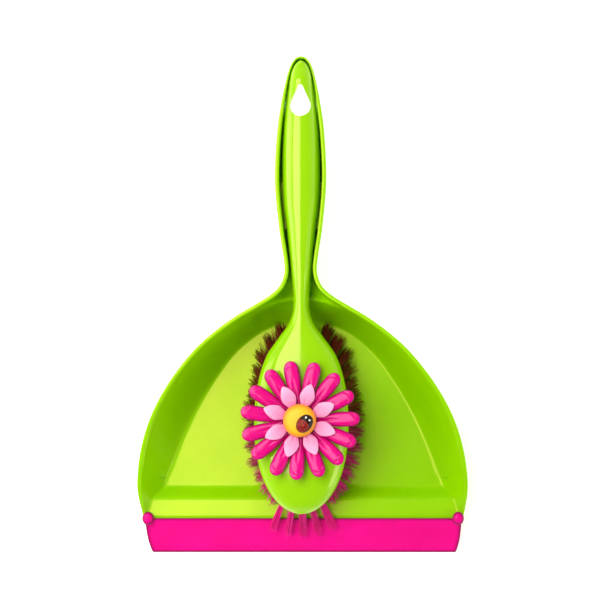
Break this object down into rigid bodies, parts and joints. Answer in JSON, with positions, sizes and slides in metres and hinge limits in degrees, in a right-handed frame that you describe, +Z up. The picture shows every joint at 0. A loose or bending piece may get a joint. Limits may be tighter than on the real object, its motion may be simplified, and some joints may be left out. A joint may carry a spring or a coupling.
{
  "type": "dustpan and hand brush set",
  "caption": "Shallow dustpan with a soft mouth lip and an open-channel handle that cradles a lift-off hand brush with a daisy on its head.",
  "frame": {"origin": "on the floor under the middle of the set's bounding box", "axes": "+Y along the handles away from the mouth, +Z up from the floor, +X to the right seen from above with the handle pointing away"},
  "size_m": [0.2248, 0.336, 0.065],
  "materials": {
    "lime": "glossy moulded plastic, lime green",
    "pink_rubber": "soft moulded rubber, hot pink, satin",
    "steel": "plain zinc-plated steel",
    "filament": "fine filaments, maroon at the root and magenta at the tip",
    "petal_pink": "glossy moulded plastic, hot pink",
    "petal_pale": "satin moulded plastic, pale pink",
    "dome_yellow": "glossy moulded plastic, yellow",
    "ladybird_black": "glossy black plastic",
    "ladybird_red": "glossy red plastic with painted spots",
    "eye_white": "glossy white paint"
  },
  "bodies": {
    "dustpan": {"pan_shell": "lime", "pan_lip": "pink_rubber", "lip_stud_left": "pink_rubber", "lip_stud_right": "pink_rubber"},
    "brush": {"brush_cover": "lime", "tuft_block": "lime", "block_screws": "steel", "tuft_staples": "steel", "tufts_rim": "filament", "tufts_toe": "filament", "tufts_middle": "filament", "tufts_inner": "filament", "tufts_core": "filament", "flower_base": "petal_pink", "flower_screw": "steel", "petals_outer": "petal_pink", "petals_inner": "petal_pale", "flower_dome": "dome_yellow", "ladybird_body": "ladybird_black", "ladybird_shell": "ladybird_red", "ladybird_eyes": "eye_white"}
  },
  "joints": [
    {"name": "brush_lift", "type": "slide", "parent": "dustpan", "child": "brush", "axis": [0, 0, 1], "range_m": [0, 0.1]}
  ]
}
